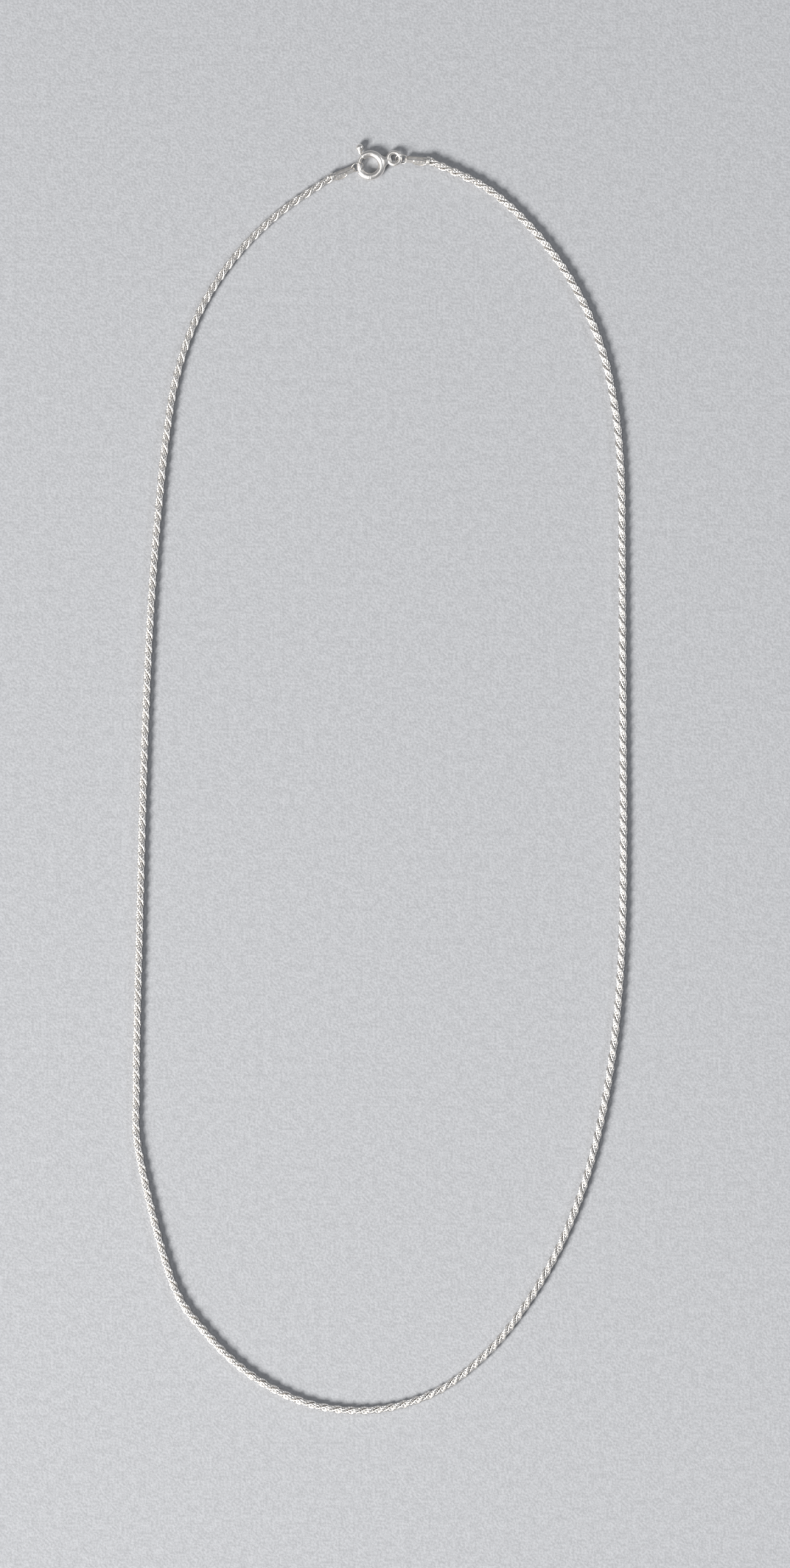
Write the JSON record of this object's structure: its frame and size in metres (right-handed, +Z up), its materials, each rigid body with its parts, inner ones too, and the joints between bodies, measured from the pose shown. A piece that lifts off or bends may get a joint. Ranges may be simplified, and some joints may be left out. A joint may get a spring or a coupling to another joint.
{
  "type": "chain necklace",
  "caption": "Fine silver rope-chain necklace laid in a long oval loop, closed by a spring-ring clasp with tagged, collared ends.",
  "frame": {"origin": "middle of the loop, on the surface that the necklace lies on", "axes": "+Y along the loop to the clasp, +X to the side of the clasp's fixed eye, +Z up"},
  "size_m": [0.0847, 0.2174, 0.0019],
  "materials": {
    "chain_silver": "bright drawn silver wire",
    "polished_silver": "polished silver",
    "fitting_silver": "silver with a light satin",
    "spring_steel": "drawn spring wire"
  },
  "bodies": {
    "clasp": {"clasp_ring": "polished_silver", "clasp_eye": "polished_silver", "clasp_spring": "spring_steel", "clasp_spring_stop": "spring_steel"},
    "bolt": {"clasp_bolt": "polished_silver", "clasp_trigger": "polished_silver"},
    "left_link": {"left_jump_ring": "fitting_silver"},
    "left_end": {"left_tag": "fitting_silver", "left_plaque": "fitting_silver", "left_collar": "fitting_silver", "left_chain_01": "chain_silver"},
    "left_run_02": {"left_chain_02": "chain_silver"},
    "left_run_03": {"left_chain_03": "chain_silver"},
    "left_run_04": {"left_chain_04": "chain_silver"},
    "left_run_05": {"left_chain_05": "chain_silver"},
    "left_run_06": {"left_chain_06": "chain_silver"},
    "left_run_07": {"left_chain_07": "chain_silver"},
    "left_run_08": {"left_chain_08": "chain_silver"},
    "left_run_09": {"left_chain_09": "chain_silver"},
    "left_run_10": {"left_chain_10": "chain_silver"},
    "left_run_11": {"left_chain_11": "chain_silver"},
    "left_run_12": {"left_chain_12": "chain_silver"},
    "left_run_13": {"left_chain_13": "chain_silver"},
    "left_run_14": {"left_chain_14": "chain_silver"},
    "left_run_15": {"left_chain_15": "chain_silver"},
    "left_run_16": {"left_chain_16": "chain_silver"},
    "left_run_17": {"left_chain_17": "chain_silver"},
    "right_link": {"right_jump_ring": "fitting_silver"},
    "right_end": {"right_tag": "fitting_silver", "right_plaque": "fitting_silver", "right_collar": "fitting_silver", "right_chain_01": "chain_silver"},
    "right_run_02": {"right_chain_02": "chain_silver"},
    "right_run_03": {"right_chain_03": "chain_silver"},
    "right_run_04": {"right_chain_04": "chain_silver"},
    "right_run_05": {"right_chain_05": "chain_silver"},
    "right_run_06": {"right_chain_06": "chain_silver"},
    "right_run_07": {"right_chain_07": "chain_silver"},
    "right_run_08": {"right_chain_08": "chain_silver"},
    "right_run_09": {"right_chain_09": "chain_silver"},
    "right_run_10": {"right_chain_10": "chain_silver"},
    "right_run_11": {"right_chain_11": "chain_silver"},
    "right_run_12": {"right_chain_12": "chain_silver"},
    "right_run_13": {"right_chain_13": "chain_silver"},
    "right_run_14": {"right_chain_14": "chain_silver"},
    "right_run_15": {"right_chain_15": "chain_silver"},
    "right_run_16": {"right_chain_16": "chain_silver"},
    "right_run_17": {"right_chain_17": "chain_silver"},
    "right_run_18": {"right_chain_18": "chain_silver"},
    "right_run_19": {"right_chain_19": "chain_silver"},
    "right_run_20": {"right_chain_20": "chain_silver"},
    "right_run_21": {"right_chain_21": "chain_silver"},
    "right_run_22": {"right_chain_22": "chain_silver"},
    "right_run_23": {"right_chain_23": "chain_silver"},
    "right_run_24": {"right_chain_24": "chain_silver"},
    "right_run_25": {"right_chain_25": "chain_silver"},
    "right_run_26": {"right_chain_26": "chain_silver"},
    "right_run_27": {"right_chain_27": "chain_silver"}
  },
  "joints": [
    {"name": "bolt_turn", "type": "hinge", "parent": "clasp", "child": "bolt", "pos_m": [-0.0017, 0.105, 0.00092], "axis": [0, 0, -1], "range_deg": [0, 66], "stiffness_Nm_per_rad": 0.002, "springref_deg": -22.92, "deforming": ["clasp_spring"]},
    {"name": "left_jump_ring_swing", "type": "hinge", "parent": "clasp", "child": "left_link", "pos_m": [-0.00366, 0.10479, 0.00092], "axis": [0.3746, -0.9272, 0], "range_deg": [-30, 30]},
    {"name": "left_tag_swing", "type": "hinge", "parent": "left_link", "child": "left_end", "pos_m": [-0.0048, 0.10433, 0.00092], "axis": [-0.2408, 0.596, 0.766], "range_deg": [-35, 35]},
    {"name": "right_jump_ring_swing", "type": "hinge", "parent": "clasp", "child": "right_link", "pos_m": [0.00343, 0.1061, 0.00092], "axis": [0.075, 0.9972, 0], "range_deg": [-30, 30]},
    {"name": "right_tag_swing", "type": "hinge", "parent": "right_link", "child": "right_end", "pos_m": [0.00466, 0.10601, 0.00092], "axis": [0.0482, 0.641, 0.766], "range_deg": [-35, 35]},
    {"name": "left_chain_bend_01", "type": "hinge", "parent": "left_end", "child": "left_run_02", "pos_m": [-0.01756, 0.09658, 0.0007], "axis": [-0.4501, 0.5453, 0.7071], "range_deg": [-35, 35]},
    {"name": "left_chain_bend_02", "type": "hinge", "parent": "left_run_02", "child": "left_run_03", "pos_m": [-0.02535, 0.08869, 0.0007], "axis": [0.5542, -0.4392, 0.7071], "range_deg": [-35, 35]},
    {"name": "left_chain_bend_03", "type": "hinge", "parent": "left_run_03", "child": "left_run_04", "pos_m": [-0.03123, 0.0793, 0.0007], "axis": [0.6372, -0.3065, -0.7071], "range_deg": [-35, 35]},
    {"name": "left_chain_bend_04", "type": "hinge", "parent": "left_run_04", "child": "left_run_05", "pos_m": [-0.03487, 0.06883, 0.0007], "axis": [-0.6884, 0.1616, -0.7071], "range_deg": [-35, 35]},
    {"name": "left_chain_bend_05", "type": "hinge", "parent": "left_run_05", "child": "left_run_06", "pos_m": [-0.03669, 0.05789, 0.0007], "axis": [-0.702, 0.0844, 0.7071], "range_deg": [-35, 35]},
    {"name": "left_chain_bend_06", "type": "hinge", "parent": "left_run_06", "child": "left_run_07", "pos_m": [-0.03786, 0.04684, 0.0007], "axis": [0.7039, -0.0671, 0.7071], "range_deg": [-35, 35]},
    {"name": "left_chain_bend_07", "type": "hinge", "parent": "left_run_07", "child": "left_run_08", "pos_m": [-0.03879, 0.03578, 0.0007], "axis": [0.7052, -0.0513, -0.7071], "range_deg": [-35, 35]},
    {"name": "left_chain_bend_08", "type": "hinge", "parent": "left_run_08", "child": "left_run_09", "pos_m": [-0.03949, 0.0247, 0.0007], "axis": [-0.7061, 0.0377, -0.7071], "range_deg": [-35, 35]},
    {"name": "left_chain_bend_09", "type": "hinge", "parent": "left_run_09", "child": "left_run_10", "pos_m": [-0.04001, 0.01361, 0.0007], "axis": [-0.7065, 0.0294, 0.7071], "range_deg": [-35, 35]},
    {"name": "left_chain_bend_10", "type": "hinge", "parent": "left_run_10", "child": "left_run_11", "pos_m": [-0.04042, 0.00251, 0.0007], "axis": [0.7067, -0.0232, 0.7071], "range_deg": [-35, 35]},
    {"name": "left_chain_bend_11", "type": "hinge", "parent": "left_run_11", "child": "left_run_12", "pos_m": [-0.04074, -0.00859, 0.0007], "axis": [0.7069, -0.0184, -0.7071], "range_deg": [-35, 35]},
    {"name": "left_chain_bend_12", "type": "hinge", "parent": "left_run_12", "child": "left_run_13", "pos_m": [-0.04102, -0.01969, 0.0007], "axis": [-0.7069, 0.0174, -0.7071], "range_deg": [-35, 35]},
    {"name": "left_chain_bend_13", "type": "hinge", "parent": "left_run_13", "child": "left_run_14", "pos_m": [-0.0413, -0.03079, 0.0007], "axis": [-0.7069, 0.0187, 0.7071], "range_deg": [-35, 35]},
    {"name": "left_chain_bend_14", "type": "hinge", "parent": "left_run_14", "child": "left_run_15", "pos_m": [-0.04159, -0.04189, 0.0007], "axis": [0.7069, -0.0167, 0.7071], "range_deg": [-35, 35]},
    {"name": "left_chain_bend_15", "type": "hinge", "parent": "left_run_15", "child": "left_run_16", "pos_m": [-0.04173, -0.05299, 0.0007], "axis": [0.7071, 0.0047, -0.7071], "range_deg": [-35, 35]},
    {"name": "left_chain_bend_16", "type": "hinge", "parent": "left_run_16", "child": "left_run_17", "pos_m": [-0.04124, -0.06408, 0.0007], "axis": [-0.7042, -0.0645, -0.7071], "range_deg": [-35, 35]},
    {"name": "right_chain_bend_01", "type": "hinge", "parent": "right_end", "child": "right_run_02", "pos_m": [0.0185, 0.1009, 0.0007], "axis": [-0.4103, -0.5759, 0.7071], "range_deg": [-35, 35]},
    {"name": "right_chain_bend_02", "type": "hinge", "parent": "right_run_02", "child": "right_run_03", "pos_m": [0.02666, 0.0934, 0.0007], "axis": [0.5299, 0.4682, 0.7071], "range_deg": [-35, 35]},
    {"name": "right_chain_bend_03", "type": "hinge", "parent": "right_run_03", "child": "right_run_04", "pos_m": [0.03315, 0.08442, 0.0007], "axis": [0.6117, 0.3547, -0.7071], "range_deg": [-35, 35]},
    {"name": "right_chain_bend_04", "type": "hinge", "parent": "right_run_04", "child": "right_run_05", "pos_m": [0.03766, 0.07429, 0.0007], "axis": [-0.6723, -0.2193, -0.7071], "range_deg": [-35, 35]},
    {"name": "right_chain_bend_05", "type": "hinge", "parent": "right_run_05", "child": "right_run_06", "pos_m": [0.04018, 0.06349, 0.0007], "axis": [-0.699, -0.1067, 0.7071], "range_deg": [-35, 35]},
    {"name": "right_chain_bend_06", "type": "hinge", "parent": "right_run_06", "child": "right_run_07", "pos_m": [0.0412, 0.05244, 0.0007], "axis": [0.7064, 0.0308, 0.7071], "range_deg": [-35, 35]},
    {"name": "right_chain_bend_07", "type": "hinge", "parent": "right_run_07", "child": "right_run_08", "pos_m": [0.0414, 0.04134, 0.0007], "axis": [0.7071, 0.0036, -0.7071], "range_deg": [-35, 35]},
    {"name": "right_chain_bend_08", "type": "hinge", "parent": "right_run_08", "child": "right_run_09", "pos_m": [0.04145, 0.03024, 0.0007], "axis": [-0.7071, -0.0037, -0.7071], "range_deg": [-35, 35]},
    {"name": "right_chain_bend_09", "type": "hinge", "parent": "right_run_09", "child": "right_run_10", "pos_m": [0.04151, 0.01913, 0.0007], "axis": [-0.7071, -0.0036, 0.7071], "range_deg": [-35, 35]},
    {"name": "right_chain_bend_10", "type": "hinge", "parent": "right_run_10", "child": "right_run_11", "pos_m": [0.04157, 0.00803, 0.0007], "axis": [0.7071, 0.0036, 0.7071], "range_deg": [-35, 35]},
    {"name": "right_chain_bend_11", "type": "hinge", "parent": "right_run_11", "child": "right_run_12", "pos_m": [0.04162, -0.00307, 0.0007], "axis": [0.7071, 0.0033, -0.7071], "range_deg": [-35, 35]},
    {"name": "right_chain_bend_12", "type": "hinge", "parent": "right_run_12", "child": "right_run_13", "pos_m": [0.04163, -0.01418, 0.0007], "axis": [-0.7071, 0.0039, -0.7071], "range_deg": [-35, 35]},
    {"name": "right_chain_bend_13", "type": "hinge", "parent": "right_run_13", "child": "right_run_14", "pos_m": [0.04145, -0.02528, 0.0007], "axis": [-0.7068, 0.021, 0.7071], "range_deg": [-35, 35]},
    {"name": "right_chain_bend_14", "type": "hinge", "parent": "right_run_14", "child": "right_run_15", "pos_m": [0.04089, -0.03637, 0.0007], "axis": [0.7051, -0.0536, 0.7071], "range_deg": [-35, 35]},
    {"name": "right_chain_bend_15", "type": "hinge", "parent": "right_run_15", "child": "right_run_16", "pos_m": [0.03971, -0.04741, 0.0007], "axis": [0.7003, -0.0981, -0.7071], "range_deg": [-35, 35]},
    {"name": "right_chain_bend_16", "type": "hinge", "parent": "right_run_16", "child": "right_run_17", "pos_m": [0.03778, -0.05834, 0.0007], "axis": [-0.6913, 0.1486, -0.7071], "range_deg": [-35, 35]},
    {"name": "right_chain_bend_17", "type": "hinge", "parent": "right_run_17", "child": "right_run_18", "pos_m": [0.03496, -0.06907, 0.0007], "axis": [-0.6737, 0.2147, 0.7071], "range_deg": [-35, 35]},
    {"name": "right_chain_bend_18", "type": "hinge", "parent": "right_run_18", "child": "right_run_19", "pos_m": [0.03093, -0.07941, 0.0007], "axis": [0.6399, -0.3009, 0.7071], "range_deg": [-35, 35]},
    {"name": "right_chain_bend_19", "type": "hinge", "parent": "right_run_19", "child": "right_run_20", "pos_m": [0.02549, -0.08908, 0.0007], "axis": [0.5889, -0.3914, -0.7071], "range_deg": [-35, 35]},
    {"name": "right_chain_bend_20", "type": "hinge", "parent": "right_run_20", "child": "right_run_21", "pos_m": [0.01863, -0.09779, 0.0007], "axis": [-0.5114, 0.4883, -0.7071], "range_deg": [-35, 35]},
    {"name": "right_chain_bend_21", "type": "hinge", "parent": "right_run_21", "child": "right_run_22", "pos_m": [0.00994, -0.10463, 0.0007], "axis": [-0.3361, 0.6221, 0.7071], "range_deg": [-35, 35]},
    {"name": "right_chain_bend_22", "type": "hinge", "parent": "right_run_22", "child": "right_run_23", "pos_m": [-0.00062, -0.10785, 0.0007], "axis": [0.0748, -0.7031, 0.7071], "range_deg": [-35, 35]},
    {"name": "right_chain_bend_23", "type": "hinge", "parent": "right_run_23", "child": "right_run_24", "pos_m": [-0.01162, -0.107, 0.0007], "axis": [-0.1854, -0.6824, -0.7071], "range_deg": [-35, 35]},
    {"name": "right_chain_bend_24", "type": "hinge", "parent": "right_run_24", "child": "right_run_25", "pos_m": [-0.02162, -0.10227, 0.0007], "axis": [0.4012, 0.5823, -0.7071], "range_deg": [-35, 35]},
    {"name": "right_chain_bend_25", "type": "hinge", "parent": "right_run_25", "child": "right_run_26", "pos_m": [-0.02977, -0.09479, 0.0007], "axis": [0.5429, 0.453, 0.7071], "range_deg": [-35, 35]},
    {"name": "right_chain_bend_26", "type": "hinge", "parent": "right_run_26", "child": "right_run_27", "pos_m": [-0.03577, -0.08547, 0.0007], "axis": [-0.6357, -0.3097, 0.7071], "range_deg": [-35, 35]}
  ]
}
